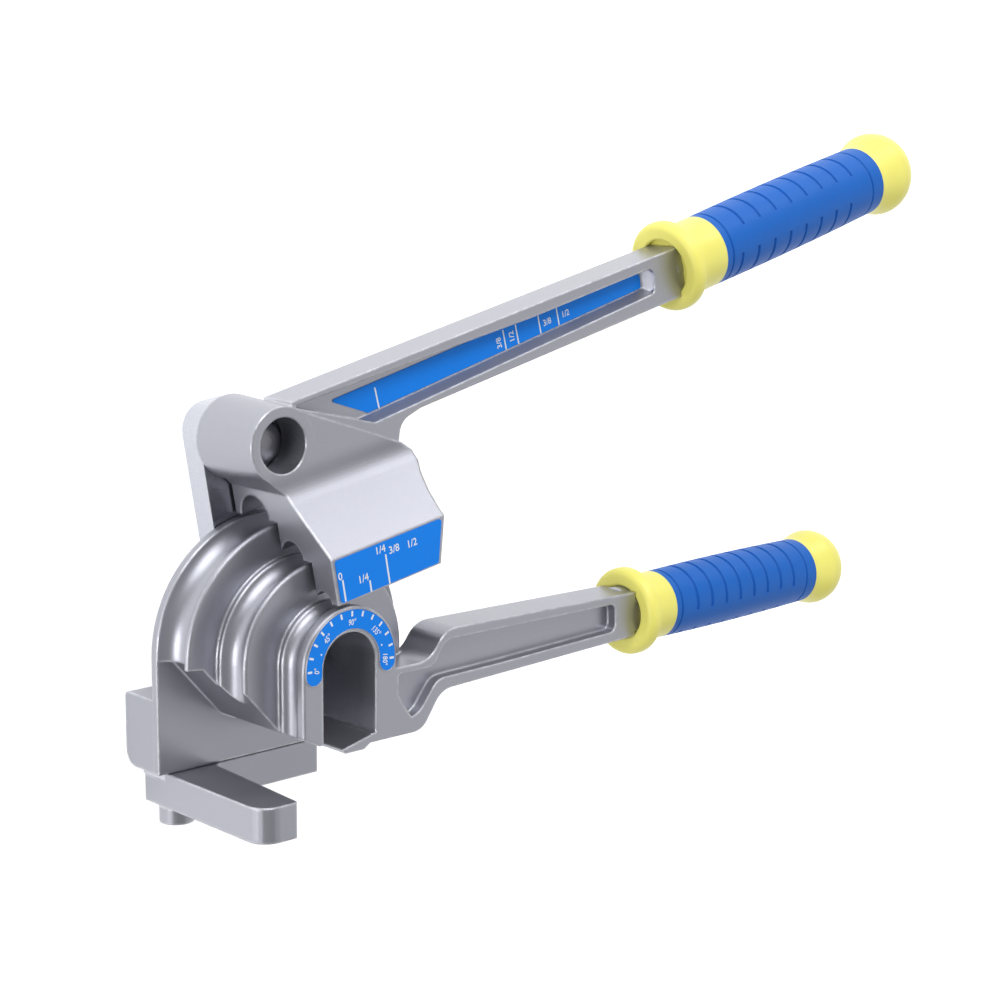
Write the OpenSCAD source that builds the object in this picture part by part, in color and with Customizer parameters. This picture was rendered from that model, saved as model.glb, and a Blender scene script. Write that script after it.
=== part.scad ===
// Hand tube bender for three tube sizes, lying on its back on a bench.
// The bend axis is the Z axis, the bench is the plane Z = 0, and the handles point along X.
// Depths are measured down from the dial face, and "reach" means along X.

/* [Tube sizes] */
// Outer diameter of the small tube
small_tube_d = 6.35; // [6.2:0.05:6.5]
// Outer diameter of the middle tube
middle_tube_d = 9.525; // [9.4:0.05:9.7]
// Outer diameter of the large tube
large_tube_d = 12.7; // [12.5:0.05:12.9]
// Bend radius of the small tube, to its centre line
small_bend_r = 17.46; // [17.2:0.05:18]
// Bend radius of the middle tube, to its centre line
middle_bend_r = 28.58; // [28:0.05:29.2]
// Bend radius of the large tube, to its centre line
large_bend_r = 38.1; // [37.6:0.05:38.8]

/* [Former] */
// Depth of the lug behind the flange
lug_depth = 13.653; // [13:0.001:16]
// Thickness of the wall in front of the small groove
front_wall = 2.87; // [2.5:0.05:3.4]
// Width of the land between two grooves
step_land = 2.9; // [2.6:0.05:3.2]
// Part of each land that lies on the lower step
land_shelf = 1.7; // [1.2:0.1:1.9]
// How far a rim stops short of the tube's centre line
rim_inset = 1.1; // [0.8:0.05:1.4]
// Rounding of the front edge of each step
rim_round = 1; // [0.6:0.1:1.2]
// Thickness of the flange at the back
flange_t = 2.53; // [2.2:0.05:2.8]
// How far the flange reaches below the bend axis
flange_drop = 33; // [32:0.5:34]
// How far the legs of the arch reach below the bend axis
leg_drop = 20.9; // [20:0.1:21.5]
// Radius of the arch through the former
arch_r = 9.3; // [8.9:0.1:9.6]
// Sideways offset of the arch
arch_shift = -0.4; // [-0.6:0.1:0]
// Depth of the arch behind the dial face
arch_depth = 28; // [26:0.5:30]

/* [Clamping lug] */
// Left side of the lug, from the bend axis
lug_left = 36.9; // [36:0.1:37.2]
// Width of the lug
lug_w = 22; // [20:0.5:24]
// How far the top of the lug lies below the bend axis
lug_top = 11.8; // [11.2:0.1:13]
// Rounding of the lug's back edges
lug_round = 4.5; // [2:0.5:6]

/* [Lower arm] */
// Reach of the arm to the front of its collar
arm_reach = 113.5; // [110:0.5:118]
// How far the arm's root reaches below the bend axis
arm_drop = 23.3; // [22.6:0.1:24]
// Thickness of the arm, from the dial face
arm_t = 13.4; // [13:0.1:14]
// Depth of the recess on each side of the arm
arm_recess = 3.6; // [2.5:0.1:4.5]

/* [Lever] */
// Distance from the bend axis to the lever's pin
link_len = 59.9; // [59.6:0.1:61]
// Direction of the link as drawn
link_deg = 98.3; // [97:0.1:100]
// Direction of the tube line under the shoe
shoe_deg = 10.5; // [10:0.1:11]
// Direction of the lever's handle
handle_deg = 14.8; // [14.5:0.1:15]
// Depth of the handle's front face below the dial face
handle_depth = 18.4; // [18:0.1:19]
// Thickness of the handle
handle_t = 12.6; // [12.2:0.1:13]
// Length of the handle, from its pin to the front of its collar
handle_len = 163.3; // [158:0.5:168]
// Depth of the recess on each side of the handle
handle_recess = 4; // [3:0.1:4.5]
// Width of the slope at the foot of the recess walls
handle_slope_w = 1.9; // [1.2:0.1:2]
// Radius of the boss round the lever's pin
boss_r = 10.8; // [10.4:0.1:11]
// How much wider the boss is at its back
boss_draft = 1.2; // [0.4:0.1:1.4]
// Radius of the pocket for the pin's head
pocket_r = 7.8; // [7.7:0.1:8.2]
// Depth of the pocket for the pin's head
pocket_depth = 12; // [11.5:0.1:12.5]
// How far the boss stands proud of the handle's front face
boss_proud = 0.5; // [0.3:0.1:1]
// Reach of the shoe along the tube line, at its face
shoe_len = 36.5; // [35:0.5:38]
// Wall of the shoe behind its large channel
shoe_back_wall = 2.4; // [2:0.1:2.6]

/* [Link] */
// Half width of the link
link_half_w = 9.9; // [9.5:0.1:10]
// Thickness of the link
link_t = 8; // [7.5:0.1:8.2]
// Width across the flats of the lever pin's hexagon
hex_af = 15; // [14:0.1:16]
// Depth of the hexagon's seat in the link
hex_seat = 3; // [2:0.1:4]
// Diameter of both pivot pins
pivot_d = 10; // [9:0.1:10.5]
// Wall of the bushes round the pivot pins
bush_t = 1.5; // [1:0.1:1.8]
// Diameter of the pivot bolt's head
bolt_head_d = 18; // [17:0.5:20]
// Thickness of the pivot bolt's washer
washer_t = 1; // [0.8:0.1:1.2]

/* [Hook] */
// Thickness of the hook
hook_t = 10; // [9.5:0.1:11]
// Left side of the hook, from the bend axis
hook_left = 33.8; // [33:0.1:34.5]
// Distance of the hook's pin to the left of the bend axis
hook_pin_left = 28; // [27.6:0.1:28.4]
// Depth of the hook's pin behind the flange's front
hook_pin_back = 4.8; // [4.6:0.1:5.8]
// Reach of the hook in front of the dial face
hook_front = 4; // [1.5:0.1:6]
// Reach of the hook's short arm to the right of the bend axis
hook_right = 19; // [14:0.5:20]
// Diameter of the hook's screw
hook_screw_d = 6; // [5.5:0.1:6.5]
// Thickness of the wear plate between the hook and the lug
pad_t = 2.3; // [1.6:0.1:2.6]
// Reach of the wear plate to the right of the hook's pin
pad_reach = 7.5; // [6:0.5:8]

/* [Upper grip] */
// Diameter of the upper collar's flange
upper_flange_d = 29.6; // [28:0.1:31]
// Diameter of the upper sleeve
upper_sleeve_d = 23.7; // [23:0.1:25]
// Length of the upper collar
upper_collar_len = 18.2; // [17:0.1:20]
// Length of the upper sleeve
upper_sleeve_len = 83.8; // [80:0.5:90]
// Diameter of the upper end knob
upper_knob_d = 28.8; // [28:0.1:31]
// Height of the upper end knob
upper_knob_len = 21.5; // [20:0.5:23]

/* [Lower grip] */
// Diameter of the lower collar's flange
lower_flange_d = 27.4; // [26:0.1:28.5]
// Diameter of the lower sleeve
lower_sleeve_d = 21.2; // [21:0.1:22.5]
// Length of the lower collar
lower_collar_len = 14.8; // [14:0.1:17]
// Length of the lower sleeve
lower_sleeve_len = 69; // [66:0.5:75]
// Diameter of the lower end knob
lower_knob_d = 24.9; // [24.5:0.1:27]
// Height of the lower end knob
lower_knob_len = 18.5; // [17:0.5:20]
// How far the lower grip's axis lies below the bend axis
lower_grip_drop = 4; // [3.5:0.1:4.5]
// Upward tilt of the lower grip
lower_grip_deg = 1; // [0:0.1:2]

/* [Grip details] */
// Fullness of a sleeve at its middle
grip_bulge = 0.4; // [0.2:0.1:0.8]
// Number of grooves in each row of a sleeve
groove_count = 8; // [6:1:8]
// Arc that each groove covers
groove_arc = 139; // [110:1:145]
// Width of a groove in a sleeve
grip_groove_w = 1.3; // [0.8:0.1:1.6]
// Diameter of the spigots that carry the grips
spigot_d = 13; // [11:0.5:14]

/* [Hidden] */
$fn = 64;

// Named clearances and small walls
run_fit = 0.05;
press_gap = 0.02;
side_gap = 0.3;
step_gap = 0.45;
link_gap = 0.5;
label_t = 0.25;
overrun = 2;
arc_steps = 6;
channel_fit = 0.08;

// Share of a tube's diameter that its groove is wide at the mouth
groove_mouth_share = 1.055;

// Derived places of the steps
tube_ds = [small_tube_d, middle_tube_d, large_tube_d];
bend_rs = [small_bend_r, middle_bend_r, large_bend_r];
groove_ws = [for (d = tube_ds) d * groove_mouth_share];
rim_rs = [for (r = bend_rs) r - rim_inset];
small_end = front_wall + groove_ws[0];
middle_end = small_end + step_land + groove_ws[1];
large_end = middle_end + step_land + groove_ws[2];
groove_ends = [small_end, middle_end, large_end];
groove_mids = [for (i = [0:2]) groove_ends[i] - groove_ws[i] / 2];
flange_back = large_end + flange_t;
face_h = flange_back + lug_depth;
former_r = rim_rs[2];

// Derived places of the link and its pins
link_front = flange_back + link_gap;
link_back = link_front + link_t;
pin_at = link_len * [cos(link_deg), sin(link_deg)];
boss_back = link_front - side_gap;
bush_d = pivot_d + 2 * bush_t;
bolt_head_t = face_h - link_back - side_gap - washer_t;

// Tangent foot of the lever's pin, along and above the tube line
foot_deg = link_deg - shoe_deg;
foot = link_len * [cos(foot_deg), sin(foot_deg)];

// Tilt-free helper values of the grips
lower_axis_z = face_h - arm_t / 2;
upper_axis_z = face_h - handle_depth - handle_t / 2;

function scaled(shares, w, h) = [for (p = shares) [p.x * w, p.y * h]];
function unit(v) = v / norm(v);
function turned(v, a) = [v.x * cos(a) - v.y * sin(a), v.x * sin(a) + v.y * cos(a)];

// One rounded corner of an outline, limited by its sides
function corner(a, b, c, r) =
    let (u = unit(a - b), w = unit(c - b))
    let (half = acos(u * w) / 2)
    let (cut = min(r / tan(half), norm(a - b) * 0.49, norm(c - b) * 0.49))
    let (rr = cut * tan(half))
    let (mid = b + unit(u + w) * rr / sin(half))
    let (from = b + u * cut - mid, to = b + w * cut - mid)
    let (sweep = atan2(from.x * to.y - from.y * to.x, from * to))
    [for (i = [0:arc_steps]) mid + turned(from, sweep * i / arc_steps)];

// An outline with the corner radius of each point given in a list
function rounded(points, radii) =
    let (n = len(points))
    [for (i = [0:n - 1]) each (radii[i] > 0
        ? corner(points[(i + n - 1) % n], points[i], points[(i + 1) % n], radii[i])
        : [points[i]])];

// A layer between two depths below the dial face
module layer(top, bottom) {
    translate([0, 0, face_h - bottom])
        linear_extrude(bottom - top)
            children();
}

// A wall that stands on the XZ plane and reaches from one Y to another
module wall(from_y, to_y) {
    translate([0, to_y, 0])
        rotate([90, 0, 0])
            linear_extrude(to_y - from_y)
                children();
}

// Round shapes with their axis along Z, between two depths
module disc(r, top, bottom) {
    translate([0, 0, face_h - bottom])
        cylinder(r = r, h = bottom - top);
}

// Cross-section of the former's steps, with radius along X and depth along -Y
module former_section() {
    first = groove_ends[0] + land_shelf;
    second = groove_ends[1] + land_shelf;
    outline = [[0, 0], [rim_rs[0], 0], [rim_rs[0], -first], [rim_rs[1], -first],
        [rim_rs[1], -second], [rim_rs[2], -second], [rim_rs[2], -groove_ends[2]], [0, -groove_ends[2]]];
    difference() {
        polygon(rounded(outline, [0, rim_round * front_round_share, 0, rim_round, 0, rim_round, 0, 0]));
        for (i = [0:2])
            translate([bend_rs[i], -groove_mids[i]])
                circle(r = groove_ws[i] / 2);
    }
}

// The dial's own edge is rounded less, so that its scale lies flat
front_round_share = 0.6;
// Outline that trims the straight part of the steps below the bend axis.
// Shares of the large rim's radius and of the legs' drop.
leg_outline_shares = [[-1.02, 0.02], [-1.02, -0.01], [-0.86, -0.035], [-0.43, -0.89], [-0.3, -1],
    [0.44, -1], [0.46, -0.89], [0.86, -0.035], [1.02, -0.01], [1.02, 0.02]];
// Outline of the flange below the bend axis, shares of its radius and its drop
flange_outline_shares = [[-1, 0.01], [-1, -1], [0.54, -1], [1, -0.3], [1, 0.01]];

// Outline of the arm, shares of its reach and its drop
arm_outline_shares = [[0.09, -0.164], [0.252, -0.164], [0.306, 0.19], [0.995, 0.15],
    [0.995, -0.442], [0.292, -0.56], [0.228, -1.01], [0.04, -1.004], [0.09, -0.8]];
arm_round_shares = [0, 0.075, 0.075, 0, 0, 0.065, 0.055, 0, 0];
// Outline of the recess in the arm, shares of the arm's reach and drop
arm_recess_shares = [[0.15, -0.83], [0.216, -0.8], [0.28, -0.41], [0.493, -0.39],
    [0.921, -0.32], [0.919, 0.05], [0.305, 0.06], [0.266, -0.245], [0.15, -0.24]];
arm_recess_round_shares = [0.01, 0.06, 0.05, 0.05, 0.02, 0.02, 0.045, 0.045, 0.01];
// Outline of the foot under the arch, shares of the arch's radius and the arm's drop
foot_outline_shares = [[0.98, -0.89], [-0.33, -1.012], [-0.22, -1.066], [0.49, -1.066],
    [0.75, -1], [2.7, -0.99], [2, -0.62], [1.7, -0.4], [0.98, -0.4]];

// Outline of the hook, shares of its left side and of the flange front's depth
hook_outline_shares = [[-1, 0], [-0.64, 0], [-0.547, 1], [0.53, 1], [0.53, 1.3],
    [-0.5, 1.3], [-0.59, 1.32], [-1, 1.32]];

// Front edge of the hook's wear plate, share of the flange front's depth
pad_front_share = 1.05;
// The stepped half-round former with its straight legs
module former_steps() {
    translate([0, 0, face_h])
        rotate_extrude(angle = 180)
            former_section();
    intersection() {
        translate([0, 0, face_h])
            rotate([90, 0, 0])
                linear_extrude(leg_drop) {
                    former_section();
                    mirror([1, 0])
                        former_section();
                }
        layer(0, large_end)
            polygon(scaled(leg_outline_shares, former_r, leg_drop));
    }
}

// The flange behind the steps, straight below the bend axis
module former_flange() {
    layer(large_end, flange_back) {
        difference() {
            circle(r = former_r);
            translate([-former_r - overrun, -2 * former_r])
                square([2 * former_r + 2 * overrun, 2 * former_r]);
        }
        polygon(scaled(flange_outline_shares, former_r, flange_drop));
    }
}

// The block behind the flange that a vise holds
module clamping_lug() {
    translate([-lug_left, 0, 0])
        rotate([90, 0, 90])
            linear_extrude(lug_w)
                polygon(rounded([[-flange_drop, 0], [-lug_top, 0],
                    [-lug_top, face_h - flange_back], [-flange_drop, face_h - flange_back]],
                    [lug_round, lug_round / 3, 0, 0]));
}

// The arm with its recess on both sides and the foot under the arch
module lower_arm() {
    arm_points = scaled(arm_outline_shares, arm_reach, arm_drop);
    arm_radii = [for (s = arm_round_shares) s * arm_reach];
    recess_points = scaled(arm_recess_shares, arm_reach, arm_drop);
    recess_radii = [for (s = arm_recess_round_shares) s * arm_reach];
    difference() {
        layer(0, arm_t)
            polygon(rounded(arm_points, arm_radii));
        layer(-overrun, arm_recess)
            polygon(rounded(recess_points, recess_radii));
        layer(arm_t - arm_recess, arm_t + overrun)
            polygon(rounded(recess_points, recess_radii));
    }
    layer(0, large_end)
        polygon(scaled(foot_outline_shares, arch_r, arm_drop));
    lower_spigot();
}

// Round end of the arm inside its grip
module lower_spigot() {
    end_r = lower_flange_d / 2 - 4.6 * collar_lip / 2;
    along(arm_reach, -lower_grip_drop, lower_axis_z, lower_grip_deg)
        cylinder(d = spigot_d, h = lower_collar_len + lower_sleeve_len + lower_knob_len / 2);
    intersection() {
        along(arm_reach, -lower_grip_drop, lower_axis_z, lower_grip_deg)
            translate([0, 0, -collar_lip])
                cylinder(r = end_r, h = 2 * collar_lip - run_fit);
        layer(0, arm_t)
            translate([arm_reach - 2 * collar_lip, -lower_grip_drop - arm_drop])
                square([4 * collar_lip, 2 * arm_drop]);
    }
}

// Depth of the hole in a collar that takes the end of its casting
collar_lip = 2.4;

// Turns a shape that stands on Z so that it points along the XY plane
module along(x, y, z, deg) {
    translate([x, y, z])
        rotate([0, 0, deg])
            rotate([0, 90, 0])
                children();
}

module former_casting() {
    color("silver")
        difference() {
            union() {
                former_steps();
                former_flange();
                clamping_lug();
                lower_arm();
            }
            layer(-overrun, arch_depth) {
                translate([arch_shift, 0])
                    circle(r = arch_r);
                translate([arch_shift - arch_r, -leg_drop])
                    square([2 * arch_r, leg_drop]);
            }
            disc(pivot_d / 2 + press_gap, arch_depth - overrun, flange_back + overrun);
            hook_at_pin()
                translate([0, 0, -pad_t])
                    cylinder(r = hook_screw_d / 2 + press_gap, h = screw_reach + 2 * pad_t);
        }
}

// Length of the hook's screw above the pad's underside
screw_reach = 14;

// Printed half ring round the arch with its two short legs
module degree_scale() {
    outer_r = rim_rs[0] - scale_margin;
    inner_r = arch_r + scale_margin;
    band = (outer_r - inner_r) / 2;
    color("royalblue")
        translate([0, 0, face_h])
            linear_extrude(label_t) {
                difference() {
                    circle(r = outer_r);
                    circle(r = inner_r);
                    translate([-2 * outer_r, -4 * outer_r])
                        square(4 * outer_r);
                }
                for (side = [-1, 1])
                    translate([side * (outer_r + inner_r) / 2, 0]) {
                        translate([-band, -scale_drop])
                            square([2 * band, scale_drop]);
                        translate([0, -scale_drop])
                            circle(r = band);
                    }
            }
}

// Bare metal left round the printed scales, and the drop of the dial's legs
scale_margin = 0.9;
scale_drop = 1;

module pivot_bolt() {
    color("dimgray") {
        disc(bolt_head_d / 2, face_h - bolt_head_t, face_h);
        disc(pivot_d / 2, arch_depth - nut_t - washer_t, face_h - bolt_head_t);
    }
}

// Thickness and width of the nut inside the arch
nut_t = 6;
nut_af = 14;

module pivot_washer() {
    color("silver")
        difference() {
            disc(bolt_head_d / 2, link_back + side_gap, face_h - bolt_head_t);
            disc(pivot_d / 2 + run_fit, link_back - overrun, face_h);
        }
}

module pivot_nut() {
    color("dimgray")
        difference() {
            translate([0, 0, face_h - arch_depth])
                cylinder(d = nut_af / cos(30), h = nut_t, $fn = 6);
            disc(pivot_d / 2 + press_gap, 0, arch_depth + overrun);
        }
}

module hook_at_pin() {
    translate([-hook_pin_left, -flange_drop - pad_t, face_h - large_end - hook_pin_back])
        rotate([-90, 0, 0])
            children();
}

// Seat of the wear plate in the hook, and the gaps below the hook
pad_right = hook_pin_left - pad_reach;
hook_seat_z = face_h - hook_outline_shares[7].y * large_end;
hook_seat_w = (hook_outline_shares[7].y - pad_front_share) * large_end;
hook_drop = hook_t - pad_t + side_gap;
hook_washer_t = 0.6;
screw_head_h = 4.9;
screw_head_d = 10;
socket_af = 5;

module hook_screw() {
    color("gray")
        hook_at_pin()
            difference() {
                union() {
                    translate([0, 0, -hook_drop - run_fit - hook_washer_t])
                        cylinder(d = hook_screw_d, h = hook_drop + hook_washer_t + screw_reach - pad_t);
                    translate([0, 0, -hook_drop - run_fit - hook_washer_t - screw_head_h])
                        cylinder(d = screw_head_d, h = screw_head_h);
                }
                translate([0, 0, -hook_drop - run_fit - hook_washer_t - screw_head_h - overrun])
                    cylinder(d = socket_af / cos(30), h = overrun + screw_head_h / 2, $fn = 6);
            }
}

module hook_washer() {
    color("silver")
        hook_at_pin()
            translate([0, 0, -hook_drop - run_fit - hook_washer_t])
                difference() {
                    cylinder(d = screw_head_d + hook_washer_t, h = hook_washer_t);
                    translate([0, 0, -overrun])
                        cylinder(r = hook_screw_d / 2 + press_gap, h = hook_washer_t + 2 * overrun);
                }
}

// L-shaped plate that holds the tube while it is bent
module hook() {
    scaled_points = scaled(hook_outline_shares, hook_left, large_end);
    tip = [[-hook_left, -hook_front], [scaled_points[1].x, -hook_front]];
    points = [tip[0], tip[1], scaled_points[2], [hook_right, large_end],
        [hook_right, scaled_points[4].y], scaled_points[5], scaled_points[6], scaled_points[7]];
    upright = [for (p = points) [p.x, face_h - p.y]];
    radii = [for (s = hook_round_shares) s * hook_t];
    color("silver")
        difference() {
            wall(-flange_drop - side_gap - hook_t, -flange_drop - side_gap)
                polygon(rounded(upright, radii));
            wall(-flange_drop - side_gap - pad_t, -flange_drop + overrun)
                translate([-hook_left - overrun, hook_seat_z - overrun])
                    square([hook_left - pad_right + overrun, hook_seat_w + overrun]);
            hook_at_pin()
                translate([0, 0, -hook_t - pad_t])
                    cylinder(r = hook_screw_d / 2 + run_fit, h = 2 * hook_t);
        }
}
hook_round_shares = [0.78, 0.1, 0.3, 0.1, 0.1, 0.3, 0.2, 0.1];
// Hardened plate that sits in the hook's top and bears on the lug
module hook_wear_plate() {
    color("gray")
        difference() {
            wall(-flange_drop - side_gap - pad_t, -flange_drop - side_gap)
                translate([-hook_left, hook_seat_z])
                    square([hook_left - pad_right, hook_seat_w]);
            hook_at_pin()
                translate([0, 0, -overrun])
                    cylinder(r = hook_screw_d / 2 + run_fit, h = pad_t + 2 * overrun);
        }
}

// Outline of the link from the bend axis to its pin, shares of its length and half width
strap_outline_shares = [[1.167, -1.1], [1.167, 1.1], [0.5, 1], [-0.16, 0.86], [-0.16, -0.86], [0.5, -1]];
strap_round_shares = [0.8, 0.8, 0, 0.8, 0.8, 0];
module link_strap() {
    color("gainsboro")
        difference() {
            layer(link_front, link_back)
                rotate([0, 0, link_deg])
                    polygon(rounded(scaled(strap_outline_shares, link_len, link_half_w),
                        [for (s = strap_round_shares) s * link_half_w]));
            disc(bush_d / 2 + press_gap, link_front - overrun, link_back + overrun);
            translate(pin_at) {
                disc(pivot_d / 2 - bush_t + press_gap, link_front - overrun, link_back + overrun);
                rotate([0, 0, link_deg])
                    translate([0, 0, face_h - link_front - hex_seat])
                        cylinder(d = hex_af / cos(30), h = hex_seat + overrun, $fn = 6);
            }
        }
}

module link_bush() {
    color("peru")
        difference() {
            disc(bush_d / 2, link_front - side_gap / 2, link_back + side_gap / 2);
            disc(pivot_d / 2 + run_fit, link_front - overrun, link_back + overrun);
        }
}

// Pin with a hexagon seated in the link and its tail riveted over behind it
module lever_pin() {
    tail_d = pivot_d - 2 * bush_t;
    color("slategray")
        translate(pin_at)
            difference() {
                union() {
                    rotate([0, 0, link_deg])
                        translate([0, 0, face_h - link_front - hex_seat])
                            cylinder(d = (hex_af - 2 * press_gap) / cos(30),
                                h = hex_seat + side_gap / 2, $fn = 6);
                    disc(pivot_d / 2, pin_end, link_front + hex_seat / 2);
                    disc(tail_d / 2, link_front, link_back + rivet_t);
                    disc(tail_d / 2 + rivet_t, link_back, link_back + rivet_t);
                }
                disc(screw_d / 2 + press_gap, pin_end - overrun, pin_end + screw_depth);
            }
}

// Sizes of the screw in the lever's pin and of the riveted tail
rivet_t = 2.2;
screw_d = 5;
screw_depth = 9;
head_d = 14;
head_t = 3.8;
pin_end = handle_depth + pocket_depth - side_gap / 3;

module lever_washer() {
    color("silver")
        translate(pin_at)
            difference() {
                disc(pocket_r - side_gap, pin_end - washer_t, pin_end);
                disc(screw_d / 2 + press_gap, pin_end - overrun, pin_end + overrun);
            }
}

module lever_screw() {
    color("dimgray")
        translate(pin_at) {
            disc(screw_d / 2, pin_end - washer_t - head_t / 2, pin_end + screw_depth - washer_t);
            difference() {
                translate([0, 0, face_h - pin_end + washer_t])
                    rotate_extrude()
                        polygon(rounded([[0, 0], [head_d / 2, 0], [head_d / 2, head_t], [0, head_t]],
                            [0, 0, head_t / 3, 0]));
                translate([0, 0, face_h - pin_end + washer_t + head_t / 2])
                    cylinder(d = socket_af / cos(30), h = head_t, $fn = 6);
            }
        }
}

module lever_bush() {
    color("peru")
        translate(pin_at)
            difference() {
                disc(bush_d / 2, handle_depth + pocket_depth, boss_back);
                disc(pivot_d / 2 + run_fit, handle_depth, boss_back + overrun);
            }
}

// Outline of the handle from its pin, shares of its length and of the boss radius
handle_outline_shares = [[0.039, 0.965], [0.999, 0.57], [0.999, -0.9], [0.305, -0.64],
    [0.255, -0.75], [0.24, -1.3], [0.1, -1.3], [0, 0]];
handle_round_shares = [0, 0, 0, 0.5, 0.7, 0, 0, 0];
handle_recess_shares = [[0.035, 0.84], [0.6, 0.405], [0.934, 0.3], [0.93, -0.45], [0.2, -0.485]];
handle_recess_round_shares = [0.04, 0, 0.2, 0.2, 0.25];
// Ends of the slopes along the recess, below and at its right end
low_slope_shares = [[0.17, -0.4864], [0.945, -0.4493]];
end_slope_shares = [[0.9296, -0.52], [0.9344, 0.38]];
// Outline of the scale on the recess floor and the radii of its corners
handle_scale_shares = [[0.13, 0.45], [0.6, 0.37], [0.917, 0.19], [0.914, -0.255], [0.206, -0.285]];
handle_scale_round_shares = [0.05, 0, 0.14, 0.05, 0.05];
// Outline of the shoe and its web seen from the front, shares of the shoe's face length and
// the pin's height. The first and last points lie inside the boss.
shoe_outline_shares = [[-0.162, 0.89], [-0.025, 0.78], [-0.025, 0.2], [1, 0.2], [1, 0.292], [1.1, 0.51],
    [1.105, 0.55], [1.125, 0.615], [1.17, 0.688], [1.22, 0.735], [1.222, 0.78], [1.16, 0.826],
    [0.19, 1.155], [0.06, 1]];
// Section of the shoe across the tube line, as depth and height above the bend axis.
// Its front slope runs up at 45 degrees and curves into the web beside the boss.
shoe_label_top_share = 1.753;
shoe_label_slope_share = 0.27;
slope_r_share = 1.4;
module shoe_section() {
    back = groove_mids[2] + large_tube_d / 2 + shoe_back_wall;
    top_n = foot.y - boss_r / 2;
    low_n = bend_rs[0] * shoe_label_top_share;
    web_front = handle_depth - boss_proud + run_fit;
    web_back = handle_depth + handle_t - run_fit;
    far_n = foot.y + 2 * boss_r;
    slope_r = slope_r_share * boss_r;
    mid = [web_front - slope_r, low_n + web_front + slope_r * tan(22.5)];
    curve = [for (i = [0:slope_steps]) mid + slope_r * [cos(45 - 45 * i / slope_steps),
        -sin(45 - 45 * i / slope_steps)]];
    points = concat([[0, bend_rs[0]], [groove_ends[0] - step_gap, bend_rs[0]],
        [groove_ends[0] - step_gap, bend_rs[1]], [groove_ends[1] - step_gap, bend_rs[1]],
        [groove_ends[1] - step_gap, bend_rs[2]], [back, bend_rs[2]],
        [back, top_n - boss_r / 2], [web_back, top_n], [web_back, far_n], [web_front, far_n]],
        [for (i = [0:slope_steps]) curve[slope_steps - i]], [[0, low_n]]);
    polygon([for (p = points) [p.y, -p.x]]);
}
slope_steps = 10;
// The shoe with its three half-round channels
module shoe() {
    rotate([0, 0, shoe_deg])
        intersection() {
            translate([-shoe_len, 0, face_h])
                rotate([0, 0, 90])
                    rotate([90, 0, 0])
                        linear_extrude(4 * shoe_len)
                            shoe_section();
            layer(0, boss_back)
                polygon(scaled(shoe_outline_shares, shoe_len, foot.y));
        }
}

module channels() {
    for (i = [0:2])
        rotate([0, 0, shoe_deg])
            translate([-shoe_len, bend_rs[i], face_h - groove_mids[i]])
                rotate([0, 90, 0])
                    cylinder(r = tube_ds[i] / 2 + channel_fit, h = 4 * shoe_len);
}

module handle_plate(shares, radii_shares, top, bottom) {
    translate(pin_at)
        rotate([0, 0, handle_deg])
            layer(top, bottom)
                polygon(rounded(scaled(shares, handle_len, boss_r), [for (s = radii_shares) s * boss_r]));
}

// Slope along the foot of a recess wall on both sides of the handle
module recess_slope(shares) {
    ends = scaled(shares, handle_len, boss_r);
    run = ends[1] - ends[0];
    near = handle_recess * 0.04;
    far = handle_recess * 1.09;
    for (side = [0, 1])
        translate(pin_at)
            rotate([0, 0, handle_deg])
                translate([ends[0].x, ends[0].y, face_h - handle_depth - side * handle_t])
                    rotate([0, 0, atan2(run.y, run.x)])
                        rotate([90, 0, 90])
                            linear_extrude(norm(run))
                                mirror([0, 1 - side])
                                    polygon([[-handle_slope_w / 10, near],
                                        [handle_slope_w * 1.1, far], [-handle_slope_w / 10, far]]);
}

module upper_spigot() {
    end_r = upper_flange_d / 2 - 4.6 * collar_lip / 2;
    upper_along()
        cylinder(d = spigot_d, h = upper_collar_len + upper_sleeve_len + upper_knob_len / 2);
    intersection() {
        upper_along()
            translate([0, 0, -collar_lip])
                cylinder(r = end_r, h = 2 * collar_lip - run_fit);
        handle_plate([[0.9, 0.57], [1.1, 0.57], [1.1, -0.9], [0.9, -0.9]], [0, 0, 0, 0],
            handle_depth, handle_depth + handle_t);
    }
}

// The axis of the upper grip, from the front of its collar
module upper_along() {
    translate([pin_at.x, pin_at.y, 0])
        rotate([0, 0, handle_deg])
            translate([handle_len, -upper_grip_drop, upper_axis_z])
                rotate([0, 90, 0])
                    children();
}
upper_grip_drop = 0.8;
boss_seam_deg = 150;

module lever_casting() {
    color("silver")
        difference() {
            union() {
                difference() {
                    union() {
                        handle_plate(handle_outline_shares, handle_round_shares,
                            handle_depth, handle_depth + handle_t);
                        shoe();
                    }
                    handle_plate(handle_recess_shares, handle_recess_round_shares,
                        handle_depth - overrun, handle_depth + handle_recess);
                    handle_plate(handle_recess_shares, handle_recess_round_shares,
                        handle_depth + handle_t - handle_recess, handle_depth + handle_t + overrun);
                }
                recess_slope(low_slope_shares);
                recess_slope(end_slope_shares);
                translate([pin_at.x, pin_at.y, face_h - boss_back])
                    rotate([0, 0, boss_seam_deg])
                        cylinder(r1 = boss_r + boss_draft, r2 = boss_r,
                            h = boss_back - handle_depth + boss_proud);
                upper_spigot();
            }
            channels();
            translate(pin_at) rotate([0, 0, boss_seam_deg]) {
                disc(pocket_r, handle_depth - 2 * overrun, handle_depth + pocket_depth);
                disc(bush_d / 2 + press_gap, handle_depth, boss_back + overrun);
            }
        }
}

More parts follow.
